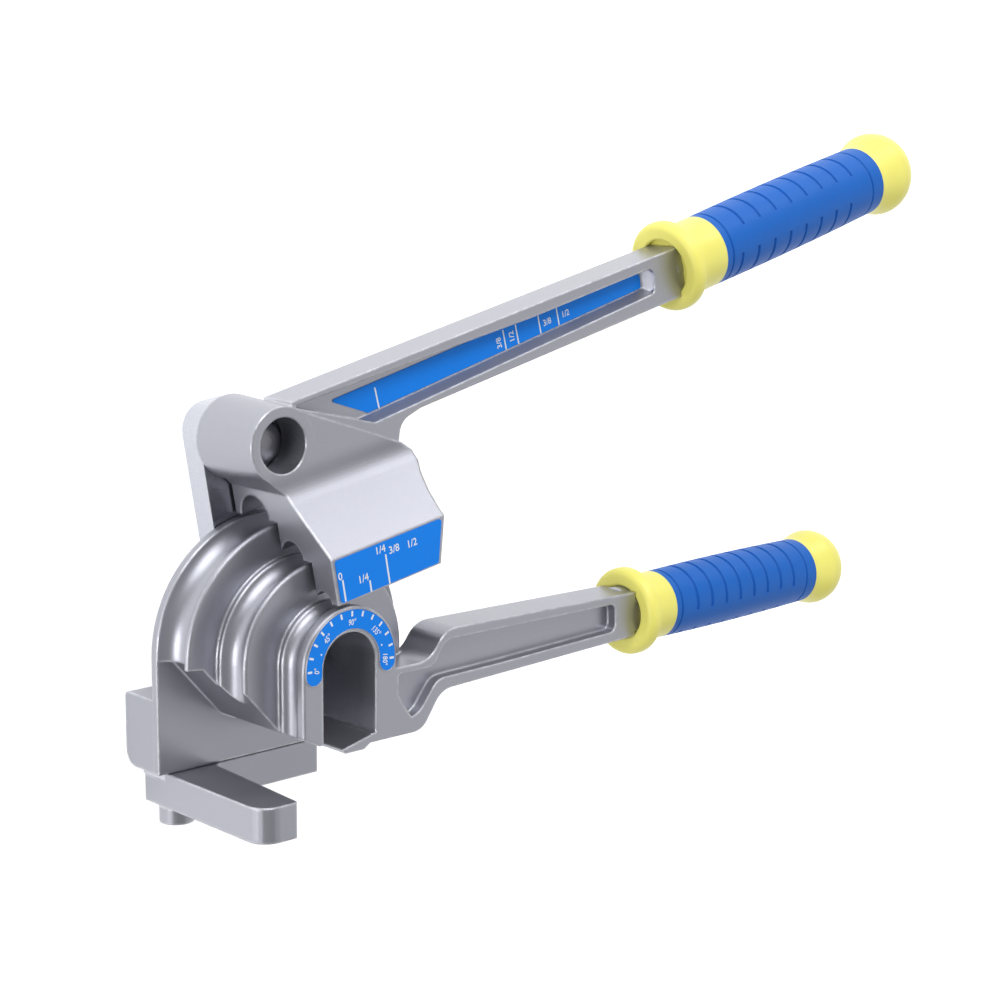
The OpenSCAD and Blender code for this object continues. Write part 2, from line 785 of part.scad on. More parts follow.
// Printed scale on the front of the shoe
module shoe_scale() {
    top_n = bend_rs[0] * shoe_label_top_share - scale_margin / 2;
    low_n = bend_rs[0] + scale_margin / 2;
    slope = shoe_label_slope_share;
    color("royalblue")
        rotate([0, 0, shoe_deg])
            translate([0, 0, face_h])
                linear_extrude(label_t)
                    polygon(rounded([[0, low_n], [shoe_len - scale_margin, low_n],
                        [shoe_len - scale_margin + slope * (top_n - low_n), top_n], [0, top_n]],
                        [for (i = [0:3]) scale_margin]));
}

// Printed scale on the floor of the handle's recess
module handle_scale() {
    color("royalblue")
        handle_plate(handle_scale_shares, handle_scale_round_shares,
            handle_depth + handle_recess - label_t, handle_depth + handle_recess);
}

// Collar of a grip, standing on Z
module collar(flange_d, sleeve_d, h) {
    end_r = flange_d / 2 - 4.6 * collar_lip / 2 + run_fit;
    lip = 2 * collar_lip;
    neck = 9;
    outline = concat(
        rounded([[end_r, collar_lip], [end_r, 0], [flange_d / 2, 0], [flange_d / 2, lip],
            [flange_d / 2 - collar_lip, lip]], [0, collar_lip / 3, collar_lip, collar_lip, 0]),
        [for (i = [1:8]) let (a = i / 8) [sleeve_d / 2 + (flange_d / 2 - collar_lip - sleeve_d / 2)
            * (1 - a) * (1 - a), lip + a * (h - lip) * 0.45]],
        [[sleeve_d / 2, h], [spigot_d / 2 + press_gap, h], [spigot_d / 2 + press_gap, collar_lip]]);
    rotate_extrude()
        polygon(outline);
}

// Places along a sleeve as shares of the distance between grooves: the rings at its ends,
// the first groove of each row, and the length left beyond the grooves
ring_shares = [0.35, 0.75];
row_shares = [0.9, 1.4];
spare_share = 2.2;
// Width of the end rings as a share of a groove's, and the turn of each sleeve
ring_w_share = 0.7;
upper_roll_deg = 32;
lower_roll_deg = -9;
// Radius of a sleeve at one place along it, a little fuller in the middle
function barrel_r(sleeve_d, h, place) = sleeve_d / 2 + grip_bulge * (1 - pow(2 * place / h - 1, 2));

// Groove that runs a part of the way round a sleeve
module groove(sleeve_d, h, place, start, arc, w) {
    translate([0, 0, place])
        rotate([0, 0, start])
            rotate_extrude(angle = arc)
                translate([barrel_r(sleeve_d, h, place), 0])
                    circle(d = w);
}

// Sleeve of a grip with two rows of grooves, standing on Z
module sleeve(sleeve_d, h, roll) {
    pitch = h / (groove_count + spare_share);
    plain_arc = 180 - groove_arc;
    rings = [ring_shares[0] * pitch, h - ring_shares[1] * pitch];
    grooves = [for (i = [0:groove_count - 1]) for (row = [0, 1]) (row_shares[row] + i) * pitch];
    bore_r = spigot_d / 2 + press_gap;
    rotate([0, 0, 180 - roll + plain_arc / 2])
        difference() {
            rotate_extrude()
                polygon(concat([[bore_r, h], [bore_r, 0]],
                    [for (place = concat([0, rings[0]], grooves, [rings[1], h]))
                        [barrel_r(sleeve_d, h, place), place]]));
            for (place = rings)
                groove(sleeve_d, h, place, 0, 360, grip_groove_w * ring_w_share);
            for (i = [0:2 * groove_count - 1])
                groove(sleeve_d, h, grooves[i], 180 * (i % 2) + plain_arc / 2, groove_arc, grip_groove_w);
        }
}

// End knob of a grip, standing on Z
module end_knob(sleeve_d, knob_d, h) {
    flare = 0.44 * h;
    low_r = sleeve_d / 2;
    high_r = knob_d / 2;
    hole = h / 2 + run_fit;
    outline = concat(
        [[spigot_d / 2 + press_gap, hole], [spigot_d / 2 + press_gap, 0], [low_r, 0]],
        [for (i = [1:8]) [low_r + (high_r - low_r) * (1 - cos(i * 180 / 8)) / 2, i * flare / 8]],
        [for (i = [1:9]) [high_r * cos(i * 10), flare + (h - flare) * sin(i * 10)]],
        [[0, hole]]);
    rotate_extrude()
        polygon(outline);
}

module upper_collar() {
    color("khaki")
        upper_along()
            collar(upper_flange_d, upper_sleeve_d, upper_collar_len);
}

module upper_sleeve() {
    color("royalblue")
        upper_along()
            translate([0, 0, upper_collar_len])
                sleeve(upper_sleeve_d, upper_sleeve_len, upper_roll_deg);
}

module upper_end_knob() {
    color("khaki")
        upper_along()
            translate([0, 0, upper_collar_len + upper_sleeve_len])
                end_knob(upper_sleeve_d, upper_knob_d, upper_knob_len);
}

module lower_collar() {
    color("khaki")
        along(arm_reach, -lower_grip_drop, lower_axis_z, lower_grip_deg)
            collar(lower_flange_d, lower_sleeve_d, lower_collar_len);
}

module lower_sleeve() {
    color("royalblue")
        along(arm_reach, -lower_grip_drop, lower_axis_z, lower_grip_deg)
            translate([0, 0, lower_collar_len])
                sleeve(lower_sleeve_d, lower_sleeve_len, lower_roll_deg);
}

module lower_end_knob() {
    color("khaki")
        along(arm_reach, -lower_grip_drop, lower_axis_z, lower_grip_deg)
            translate([0, 0, lower_collar_len + lower_sleeve_len])
                end_knob(lower_sleeve_d, lower_knob_d, lower_knob_len);
}

former_casting();
degree_scale();
pivot_bolt();
pivot_washer();
pivot_nut();
hook_screw();
hook_washer();
lower_collar();
lower_sleeve();
lower_end_knob();
link_strap();
link_bush();
lever_pin();
lever_screw();
lever_washer();
lever_casting();
lever_bush();
shoe_scale();
handle_scale();
upper_collar();
upper_sleeve();
upper_end_knob();
hook();
hook_wear_plate();
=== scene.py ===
import bpy
import bmesh
import math
from mathutils import Matrix, Vector


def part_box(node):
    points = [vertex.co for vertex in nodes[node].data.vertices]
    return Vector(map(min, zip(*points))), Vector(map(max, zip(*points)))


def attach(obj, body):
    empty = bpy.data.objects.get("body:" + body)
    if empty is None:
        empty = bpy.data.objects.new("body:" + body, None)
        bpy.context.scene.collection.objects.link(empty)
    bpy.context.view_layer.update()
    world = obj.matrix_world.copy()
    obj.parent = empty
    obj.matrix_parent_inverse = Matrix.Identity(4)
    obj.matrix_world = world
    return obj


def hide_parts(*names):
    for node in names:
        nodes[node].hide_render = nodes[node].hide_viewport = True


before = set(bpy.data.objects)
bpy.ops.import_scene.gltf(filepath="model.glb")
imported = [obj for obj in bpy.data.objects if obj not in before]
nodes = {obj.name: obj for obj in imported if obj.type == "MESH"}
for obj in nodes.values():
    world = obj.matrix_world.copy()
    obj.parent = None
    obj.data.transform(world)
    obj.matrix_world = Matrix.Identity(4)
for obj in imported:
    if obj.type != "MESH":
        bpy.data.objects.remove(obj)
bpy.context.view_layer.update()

print("frame loaded:", len(nodes), "nodes")

mm = 0.001

# places repeated from the part's source
tool = {
    "faceHeight": 55 * mm,        # dial face above the bench
    "tubeLineAngle": 10.5,        # the shoe's tube line, in degrees
    "handleAngle": 14.8,          # the lever's handle
    "pinAngle": 98.3,             # direction of the lever's pin from the bend axis
    "pinReach": 59.9 * mm,
    "handleDepth": 18.4 * mm,
    "handleRecess": 4.0 * mm,
    "labelThickness": 0.25 * mm,
}


def onCircle(radius, angle):
    # point on a circle round the bend axis, at an angle in degrees
    return radius * Vector((math.cos(math.radians(angle)), math.sin(math.radians(angle)), 0))


pinPlace = onCircle(tool["pinReach"], tool["pinAngle"])


# shader helpers
def newMaterial(name, baseColour, roughness, metallic=0.0):
    material = bpy.data.materials.new(name)
    material.use_nodes = True
    shader = material.node_tree.nodes["Principled BSDF"]
    shader.inputs["Base Color"].default_value = (*baseColour, 1)
    shader.inputs["Roughness"].default_value = roughness
    shader.inputs["Metallic"].default_value = metallic
    return material, material.node_tree, shader


def addNode(tree, kind, **settings):
    node = tree.nodes.new(kind)
    for key, value in settings.items():
        if key in node.inputs:
            node.inputs[key].default_value = value
        else:
            setattr(node, key, value)
    return node


def addMath(tree, operation, first, second):
    # one math step; each side is a number or another node's output
    step = addNode(tree, "ShaderNodeMath", operation=operation)
    for socket, value in zip(step.inputs, (first, second)):
        if isinstance(value, (int, float)):
            socket.default_value = value
        else:
            tree.links.new(value, socket)
    return step.outputs[0]


def addRange(tree, source, fromMin, fromMax, toMin, toMax):
    step = addNode(tree, "ShaderNodeMapRange", clamp=True)
    for key, value in (("From Min", fromMin), ("From Max", fromMax), ("To Min", toMin), ("To Max", toMax)):
        step.inputs[key].default_value = value
    tree.links.new(source, step.inputs["Value"])
    return step.outputs["Result"]


def addNoise(tree, place, scale, detail, roughness):
    noise = addNode(tree, "ShaderNodeTexNoise", Detail=detail, Roughness=roughness)
    tree.links.new(place, noise.inputs["Vector"])
    tree.links.new(scale, noise.inputs["Scale"])
    return noise.outputs["Fac"]


def newGroup(name, inlets, outlets):
    # a node group with its sockets; each entry is a name, a socket kind and, for an inlet, a value
    group = bpy.data.node_groups.new(name, "ShaderNodeTree")
    for label, kind, value in inlets:
        socket = group.interface.new_socket(label, in_out="INPUT", socket_type="NodeSocket" + kind)
        if value is not None:
            socket.default_value = value
    for label, kind in outlets:
        group.interface.new_socket(label, in_out="OUTPUT", socket_type="NodeSocket" + kind)
    return group, addNode(group, "NodeGroupInput").outputs, addNode(group, "NodeGroupOutput").inputs


# noise detail and roughness of each pattern, and how far the soft normal turns where an edge is worn and gets its
# painted highlight
patterns = {"grain": (3.0, 0.6), "tone": (4.0, 0.5), "break": (3.0, 0.6),
            "edgeStart": 0.99, "edgeFull": 0.86, "breakStart": 0.3, "breakFull": 0.6, "leastWearAndHighlight": 0.35,
            "bevelSamples": 6}


def makeGrainGroup():
    # fine blasted grain and slow tone changes for any cast or moulded surface
    group, inlet, outlet = newGroup(
        "surfaceGrain",
        (("Colour", "Color", None), ("Stretch", "Vector", (1, 1, 1)), ("Grain Scale", "Float", 900.0),
         ("Grain Strength", "Float", 0.1), ("Tone Strength", "Float", 0.1), ("Tone Scale", "Float", 30.0),
         ("Roughness", "Float", 0.5), ("Roughness Spread", "Float", 0.1)),
        (("Colour", "Color"), ("Roughness", "Float"), ("Height", "Float")))
    coords = addNode(group, "ShaderNodeTexCoord").outputs["Object"]
    drawn = addNode(group, "ShaderNodeVectorMath", operation="MULTIPLY")
    group.links.new(coords, drawn.inputs[0])
    group.links.new(inlet["Stretch"], drawn.inputs[1])
    grain = addNoise(group, drawn.outputs[0], inlet["Grain Scale"], *patterns["grain"])
    tone = addNoise(group, coords, inlet["Tone Scale"], *patterns["tone"])

    def centred(source, strength):
        return addMath(group, "MULTIPLY", addMath(group, "SUBTRACT", source, 0.5), strength)

    both = addMath(group, "ADD", centred(grain, inlet["Grain Strength"]), centred(tone, inlet["Tone Strength"]))
    shade = addNode(group, "ShaderNodeVectorMath", operation="SCALE")
    group.links.new(inlet["Colour"], shade.inputs[0])
    group.links.new(addMath(group, "ADD", both, 1.0), shade.inputs["Scale"])
    rough = addMath(group, "ADD", centred(tone, inlet["Roughness Spread"]), inlet["Roughness"])
    group.links.new(shade.outputs[0], outlet["Colour"])
    group.links.new(rough, outlet["Roughness"])
    group.links.new(grain, outlet["Height"])
    return group


def makeWearGroup():
    # lighter, smoother metal along the edges, broken up by noise: part wear, part a painted highlight on every edge
    group, inlet, outlet = newGroup(
        "edgeWearAndHighlight",
        (("Colour", "Color", None), ("Worn And Highlight Colour", "Color", (0.8, 0.8, 0.82, 1)), ("Roughness", "Float", 0.4),
         ("Wear And Highlight Radius", "Float", 0.0008), ("Wear And Highlight Amount", "Float", 0.6), ("Wear Roughness", "Float", 0.28),
         ("Break Scale", "Float", 300.0)),
        (("Colour", "Color"), ("Roughness", "Float")))
    soft = addNode(group, "ShaderNodeBevel", samples=patterns["bevelSamples"])
    group.links.new(inlet["Wear And Highlight Radius"], soft.inputs["Radius"])
    flat = addNode(group, "ShaderNodeNewGeometry")
    match = addNode(group, "ShaderNodeVectorMath", operation="DOT_PRODUCT")
    group.links.new(soft.outputs["Normal"], match.inputs[0])
    group.links.new(flat.outputs["Normal"], match.inputs[1])
    edge = addRange(group, match.outputs["Value"], patterns["edgeStart"], patterns["edgeFull"], 0.0, 1.0)
    coords = addNode(group, "ShaderNodeTexCoord").outputs["Object"]
    broken = addNoise(group, coords, inlet["Break Scale"], *patterns["break"])
    patch = addRange(group, broken, patterns["breakStart"], patterns["breakFull"], patterns["leastWearAndHighlight"], 1.0)
    # strength of the light edge band, which is part wear and part painted highlight
    amount = addMath(group, "MULTIPLY", addMath(group, "MULTIPLY", edge, patch), inlet["Wear And Highlight Amount"])
    # the mix node keeps its colour sockets at 6, 7 and 2, and its float sockets at 2, 3 and 0
    mixColour = addNode(group, "ShaderNodeMix", data_type="RGBA")
    mixRough = addNode(group, "ShaderNodeMix", data_type="FLOAT")
    for mix, clean, worn, places in ((mixColour, "Colour", "Worn And Highlight Colour", (6, 7, 2)),
                                     (mixRough, "Roughness", "Wear Roughness", (2, 3, 0))):
        group.links.new(amount, mix.inputs[0])
        group.links.new(inlet[clean], mix.inputs[places[0]])
        group.links.new(inlet[worn], mix.inputs[places[1]])
        group.links.new(mix.outputs[places[2]], outlet[clean])
    return group


grainGroup = makeGrainGroup()
wearAndHighlightGroup = makeWearGroup()


def grainMaterial(name, look):
    material, tree, shader = newMaterial(name, look["colour"], look["roughness"], look["metallic"])
    grain = addNode(tree, "ShaderNodeGroup")
    grain.node_tree = grainGroup
    grain.inputs["Colour"].default_value = (*look["colour"], 1)
    for label, key in (("Grain Scale", "grainScale"), ("Grain Strength", "grainStrength"), ("Tone Scale", "toneScale"),
                       ("Tone Strength", "toneStrength"), ("Roughness", "roughness"),
                       ("Roughness Spread", "roughnessSpread")):
        grain.inputs[label].default_value = look[key]
    grain.inputs["Stretch"].default_value = look.get("stretch", (1, 1, 1))
    bump = addNode(tree, "ShaderNodeBump")
    bump.inputs["Strength"].default_value = look["bump"]
    bump.inputs["Distance"].default_value = look["bumpDepth"]
    surface = grain
    # edges get a lighter colour band: part wear, part painted highlight
    if look.get("wornAndHighlightColour"):
        surface = addNode(tree, "ShaderNodeGroup")
        surface.node_tree = wearAndHighlightGroup
        surface.inputs["Worn And Highlight Colour"].default_value = (*look["wornAndHighlightColour"], 1)
        for label, key in (("Wear And Highlight Radius", "wearAndHighlightRadius"), ("Wear And Highlight Amount", "wearAndHighlightAmount"),
                           ("Wear Roughness", "wearRoughness")):
            surface.inputs[label].default_value = look[key]
        tree.links.new(grain.outputs["Colour"], surface.inputs["Colour"])
        tree.links.new(grain.outputs["Roughness"], surface.inputs["Roughness"])
    tree.links.new(surface.outputs["Colour"], shader.inputs["Base Color"])
    tree.links.new(surface.outputs["Roughness"], shader.inputs["Roughness"])
    tree.links.new(grain.outputs["Height"], bump.inputs["Height"])
    tree.links.new(bump.outputs["Normal"], shader.inputs["Normal"])
    if look.get("edgeRadius"):
        soft = addNode(tree, "ShaderNodeBevel", samples=patterns["bevelSamples"])
        soft.inputs["Radius"].default_value = look["edgeRadius"]
        tree.links.new(soft.outputs["Normal"], bump.inputs["Normal"])
    if look.get("specular"):
        shader.inputs["Specular IOR Level"].default_value = look["specular"]
    return material


# each look's worn colour lightens a band along the edges: part wear, part painted highlight
castLook = {"colour": (0.365, 0.37, 0.415), "roughness": 0.34, "roughnessSpread": 0.10, "metallic": 0.8,
            "grainScale": 2600.0, "grainStrength": 0.14, "toneScale": 45.0, "toneStrength": 0.08,
            "bump": 0.22, "bumpDepth": 0.00015, "edgeRadius": 0.0011,
            "wornAndHighlightColour": (0.78, 0.79, 0.84), "wearAndHighlightRadius": 0.0013, "wearAndHighlightAmount": 0.8, "wearRoughness": 0.26}
hookLook = dict(castLook, colour=(0.375, 0.38, 0.425))
zincLook = {"colour": (0.50, 0.51, 0.56), "roughness": 0.27, "roughnessSpread": 0.10, "metallic": 1.0,
            "grainScale": 900.0, "grainStrength": 0.07, "toneScale": 80.0, "toneStrength": 0.08,
            "stretch": (1.0, 0.12, 1.0),  # drawn out along Y, as brushed metal is
            "bump": 0.08, "bumpDepth": 0.0001, "edgeRadius": 0.0005,
            "wornAndHighlightColour": (0.93, 0.93, 0.95), "wearAndHighlightRadius": 0.0006, "wearAndHighlightAmount": 0.5, "wearRoughness": 0.2}
steelLook = {"colour": (0.36, 0.36, 0.38), "roughness": 0.32, "roughnessSpread": 0.15, "metallic": 1.0,
             "grainScale": 1500.0, "grainStrength": 0.15, "toneScale": 150.0, "toneStrength": 0.2,
             "bump": 0.15, "bumpDepth": 0.0001, "edgeRadius": 0.0003,
             "wornAndHighlightColour": (0.62, 0.62, 0.65), "wearAndHighlightRadius": 0.0004, "wearAndHighlightAmount": 0.6, "wearRoughness": 0.22}
bronzeLook = dict(steelLook, colour=(0.50, 0.33, 0.16), edgeRadius=0.0, wornAndHighlightColour=(0.72, 0.52, 0.28))
yellowLook = {"colour": (0.97, 0.91, 0.20), "roughness": 0.36, "roughnessSpread": 0.06, "metallic": 0.0,
              "grainScale": 1600.0, "grainStrength": 0.03, "toneScale": 40.0, "toneStrength": 0.03,
              "bump": 0.06, "bumpDepth": 0.0001, "edgeRadius": 0.0005}
blueLook = {"colour": (0.007, 0.135, 0.56), "specular": 0.3, "roughness": 0.50, "roughnessSpread": 0.10,
            "metallic": 0.0, "grainScale": 1800.0, "grainStrength": 0.12, "toneScale": 60.0, "toneStrength": 0.10,
            "bump": 0.16, "bumpDepth": 0.0001, "edgeRadius": 0.0003}
filmLook = {"colour": (0.004, 0.24, 0.92), "specular": 0.15, "roughness": 0.34, "roughnessSpread": 0.08,
            "metallic": 0.0, "grainScale": 900.0, "grainStrength": 0.04, "toneScale": 90.0, "toneStrength": 0.05,
            "bump": 0.03, "bumpDepth": 0.00005}
inkLook = dict(filmLook, colour=(0.86, 0.90, 0.93), grainStrength=0.02)
screwLook = dict(steelLook, colour=(0.25, 0.25, 0.27), roughness=0.38)

castMetal = grainMaterial("castMetal", castLook)
hookMetal = grainMaterial("hookMetal", hookLook)
brightZinc = grainMaterial("brightZinc", zincLook)
darkSteel = grainMaterial("darkSteel", steelLook)
bushBronze = grainMaterial("bushBronze", bronzeLook)
yellowPlastic = grainMaterial("yellowPlastic", yellowLook)
blueRubber = grainMaterial("blueRubber", blueLook)
blueFilm = grainMaterial("blueFilm", filmLook)
whiteInk = grainMaterial("whiteInk", inkLook)
screwSteel = grainMaterial("screwSteel", screwLook)

finishes = {
    "former_casting": castMetal, "lever_casting": castMetal, "hook": hookMetal,
    "link_strap": brightZinc, "pivot_washer": brightZinc, "hook_washer": brightZinc, "lever_washer": brightZinc,
    "pivot_bolt": darkSteel, "pivot_nut": darkSteel, "lever_pin": darkSteel, "lever_screw": darkSteel,
    "hook_screw": hookMetal, "hook_wear_plate": brightZinc, "link_bush": bushBronze, "lever_bush": bushBronze,
    "degree_scale": blueFilm, "shoe_scale": blueFilm, "handle_scale": blueFilm,
    "lower_collar": yellowPlastic, "lower_end_knob": yellowPlastic,
    "upper_collar": yellowPlastic, "upper_end_knob": yellowPlastic,
    "lower_sleeve": blueRubber, "upper_sleeve": blueRubber,
}
for name, material in finishes.items():
    piece = nodes[name]
    piece.data.materials.clear()
    piece.data.materials.append(material)
print("finishes set on", len(finishes), "nodes")


# small pieces and printed marks
def finishPiece(mesh, name, material, body, place):
    # turns a built bmesh into a piece that sits at the origin
    data = bpy.data.meshes.new(name)
    mesh.transform(place)
    mesh.to_mesh(data)
    mesh.free()
    piece = bpy.data.objects.new(name, data)
    bpy.context.scene.collection.objects.link(piece)
    data.materials.append(material)
    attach(piece, body)
    return piece


def flatPlace(x, y, turn):
    return Matrix.Translation((x, y, 0)) @ Matrix.Rotation(math.radians(turn), 4, "Z")


def addBar(mesh, x, y, width, height, turn=0.0):
    made = bmesh.ops.create_grid(mesh, x_segments=1, y_segments=1, size=0.5)
    place = flatPlace(x, y, turn) @ Matrix.Diagonal((width, height, 1, 1))
    bmesh.ops.transform(mesh, verts=made["verts"], matrix=place)


strokeShare = 0.012  # how much bolder than the font's own, as a share of the size


def addWords(mesh, words, x, y, size, turn=0.0, lean=0.0, across=1.0):
    curve = bpy.data.curves.new("number", "FONT")
    curve.body = words
    curve.size = size
    curve.align_x = "CENTER"
    curve.align_y = "CENTER"
    curve.shear = lean
    curve.offset = size * strokeShare
    curve.resolution_u = 3
    holder = bpy.data.objects.new("number", curve)
    bpy.context.scene.collection.objects.link(holder)
    bpy.context.view_layer.update()
    flat = bpy.data.meshes.new_from_object(holder.evaluated_get(bpy.context.evaluated_depsgraph_get()))
    before = len(mesh.verts)
    mesh.from_mesh(flat)
    mesh.verts.ensure_lookup_table()
    place = flatPlace(x, y, turn) @ Matrix.Diagonal((across, 1, 1, 1))
    bmesh.ops.transform(mesh, verts=mesh.verts[before:], matrix=place)
    bpy.data.objects.remove(holder)
    bpy.data.meshes.remove(flat)
    bpy.data.curves.remove(curve)


# the lever's screw with a plain domed head, down in its pocket
leverScrew = {"headRadius": 6.6 * mm, "headHeight": 3.6 * mm, "shankRadius": 3 * mm, "edge": 1.0 * mm,
              "domeSteps": 8, "domeFlatness": 0.8, "steps": 56}


def buildLeverScrew(screw):
    low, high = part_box("lever_screw")
    middle = (Vector(low) + Vector(high)) / 2
    headFoot = high[2] - screw["headHeight"]
    outline = [(0, low[2]), (screw["shankRadius"], low[2]), (screw["shankRadius"], headFoot),
               (screw["headRadius"], headFoot), (screw["headRadius"], headFoot + screw["edge"])]
    last = screw["domeSteps"]
    for step in range(1, last + 1):
        turn = math.radians(step * 90 / last)
        across = math.cos(turn) ** screw["domeFlatness"] if step < last else 0
        rise = (screw["headHeight"] - screw["edge"]) * math.sin(turn)
        outline.append((screw["headRadius"] * across, headFoot + screw["edge"] + rise))
    mesh = bmesh.new()
    ring = [mesh.verts.new((x, 0, z)) for x, z in outline]
    lines = [mesh.edges.new(pair) for pair in zip(ring, ring[1:])]
    bmesh.ops.spin(mesh, geom=ring + lines, cent=(0, 0, 0), axis=(0, 0, 1), angle=math.tau,
                   steps=screw["steps"], use_merge=True)
    bmesh.ops.remove_doubles(mesh, verts=mesh.verts, dist=0.001 * mm)
    bmesh.ops.recalc_face_normals(mesh, faces=mesh.faces)
    for face in mesh.faces:
        face.smooth = abs(face.normal.z) < 0.98  # flat ends keep sharp rims
    piece = finishPiece(mesh, "leverScrewHead", screwSteel, "link",
                        Matrix.Translation((middle.x, middle.y, 0)))
    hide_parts("lever_screw")


# fine raised lips that frame the dial's label
dialLip = {"outerRadius": 15.46 * mm, "innerRadius": 10.2 * mm, "drop": 1.0 * mm, "width": 0.34 * mm,
           "height": 0.36 * mm, "profileSides": 12, "start": -4, "sweep": 188, "stepAngle": 4}


def addLipArc(mesh, centre, radius, start, sweep, lip):
    # a small half-round profile swept round one of the label's arcs
    made = bmesh.ops.create_circle(mesh, cap_ends=False, segments=lip["profileSides"], radius=0.5)
    verts = made["verts"]
    upright = Matrix.Translation((radius, 0, 0)) @ Matrix.Rotation(math.pi / 2, 4, "X")
    bmesh.ops.transform(mesh, verts=verts, matrix=upright @ Matrix.Diagonal((lip["width"], 2 * lip["height"], 1, 1)))
    bmesh.ops.rotate(mesh, verts=verts, cent=(0, 0, 0), matrix=Matrix.Rotation(math.radians(start), 3, "Z"))
    edges = list({edge for vert in verts for edge in vert.link_edges})
    before = set(mesh.verts) - set(verts)
    bmesh.ops.spin(mesh, geom=verts + edges, cent=(0, 0, 0), axis=(0, 0, 1), angle=math.radians(sweep),
                   steps=int(sweep / lip["stepAngle"]))
    bmesh.ops.translate(mesh, verts=[vert for vert in mesh.verts if vert not in before], vec=(*centre, 0))


def buildDialLip(lip):
    mesh = bmesh.new()
    half = lip["width"] / 2
    middle = (lip["outerRadius"] + lip["innerRadius"]) / 2
    band = (lip["outerRadius"] - lip["innerRadius"]) / 2
    for radius in (lip["outerRadius"] + half, lip["innerRadius"] - half):
        addLipArc(mesh, (0, 0), radius, lip["start"], lip["sweep"], lip)
    for side in (-1, 1):
        addLipArc(mesh, (side * middle, -lip["drop"]), band + half, 180, 180, lip)
    bmesh.ops.recalc_face_normals(mesh, faces=mesh.faces)
    for face in mesh.faces:
        face.smooth = True
    place = Matrix.Translation((0, 0, tool["faceHeight"]))
    finishPiece(mesh, "dialLip", castMetal, "former", place)


dialMarks = {"tickRadius": 14.35 * mm, "tickLength": 1.5 * mm, "tickWidth": 0.62 * mm, "tickStep": 15, "turn": -1.3,
             "numberRadius": 11.9 * mm, "numberSize": 2.35 * mm, "numbers": (0, 45, 90, 135, 180),
             "numberLean": 0.15, "numberWidth": 0.82,
             "dotRadius": 11.4 * mm, "dotSize": 0.28 * mm, "dots": (24, 160), "lift": 0.02 * mm}


def buildDialMarks(marks):
    mesh = bmesh.new()
    for step in range(0, 181, marks["tickStep"]):
        angle = 180 - step + marks["turn"]
        spot = onCircle(marks["tickRadius"], angle)
        addBar(mesh, spot.x, spot.y, marks["tickLength"], marks["tickWidth"], angle)
    for number in marks["numbers"]:
        angle = 180 - number + marks["turn"]
        spot = onCircle(marks["numberRadius"], angle)
        addWords(mesh, str(number) + "°", spot.x, spot.y, marks["numberSize"], angle - 90,
                 marks["numberLean"], marks["numberWidth"])
    for dot in marks["dots"]:
        made = bmesh.ops.create_circle(mesh, cap_ends=True, segments=16, radius=marks["dotSize"])
        bmesh.ops.translate(mesh, verts=made["verts"], vec=onCircle(marks["dotRadius"], 180 - dot))
    height = tool["faceHeight"] + tool["labelThickness"] + marks["lift"]
    return finishPiece(mesh, "dialMarks", whiteInk, "former", Matrix.Translation((0, 0, height)))


# along the tube line from the former's middle, above the bend axis, and the length, in millimetres
shoeMarks = {"lines": ((1.5, 18.1, 6.2), (10.6, 17.8, 3.3), (17.3, 17.9, 8.6)), "lineWidth": 0.55 * mm,
             "numbers": (("0", 0.9, 25.4), ("1/4", 8.5, 22.3), ("1/4", 15.7, 28.3), ("3/8", 20.5, 27.0),
                         ("1/2", 27.0, 26.6)),
             "numberSize": 3.0 * mm, "lift": 0.02 * mm}


def buildShoeMarks(marks):
    mesh = bmesh.new()
    for along, low, tall in marks["lines"]:
        addBar(mesh, along * mm, (low + tall / 2) * mm, marks["lineWidth"], tall * mm)
    for words, along, high in marks["numbers"]:
        addWords(mesh, words, along * mm, high * mm, marks["numberSize"])
    place = Matrix.Rotation(math.radians(tool["tubeLineAngle"]), 4, "Z")
    height = tool["faceHeight"] + tool["labelThickness"] + marks["lift"]
    return finishPiece(mesh, "shoeMarks", whiteInk, "lever", Matrix.Translation((0, 0, height)) @ place)


# along the handle from its pin, across it, and the length of each line, all in millimetres
handleMarks = {"lines": ((37.8, -0.1, 6.4), (89.1, 0.15, 6.2), (94.4, 0.15, 6.2), (104.0, 0.05, 5.7),
                         (112.0, 0.0, 5.5)),
               "lineWidth": 0.5 * mm,
               "numbers": (("3/8", 86.8, -0.1, 90), ("1/2", 92.2, 0.1, 90), ("3/8", 107.3, -0.25, 0),
                           ("1/2", 115.3, -0.2, 0)),
               "numberSize": 2.7 * mm, "lift": 0.02 * mm}


def buildHandleMarks(marks):
    mesh = bmesh.new()
    for along, across, tall in marks["lines"]:
        addBar(mesh, along * mm, across * mm, marks["lineWidth"], tall * mm)
    for words, along, across, turn in marks["numbers"]:
        addWords(mesh, words, along * mm, across * mm, marks["numberSize"], turn)
    recessFloor = tool["faceHeight"] - tool["handleDepth"] - tool["handleRecess"]
    height = recessFloor + tool["labelThickness"] + marks["lift"]
    place = Matrix.Translation((0, 0, height)) @ flatPlace(pinPlace.x, pinPlace.y, tool["handleAngle"])
    return finishPiece(mesh, "handleMarks", whiteInk, "lever", place)


buildLeverScrew(leverScrew)
buildDialLip(dialLip)
print("screw and label lips built")
buildDialMarks(dialMarks)
buildShoeMarks(shoeMarks)
buildHandleMarks(handleMarks)
print("printed marks built")


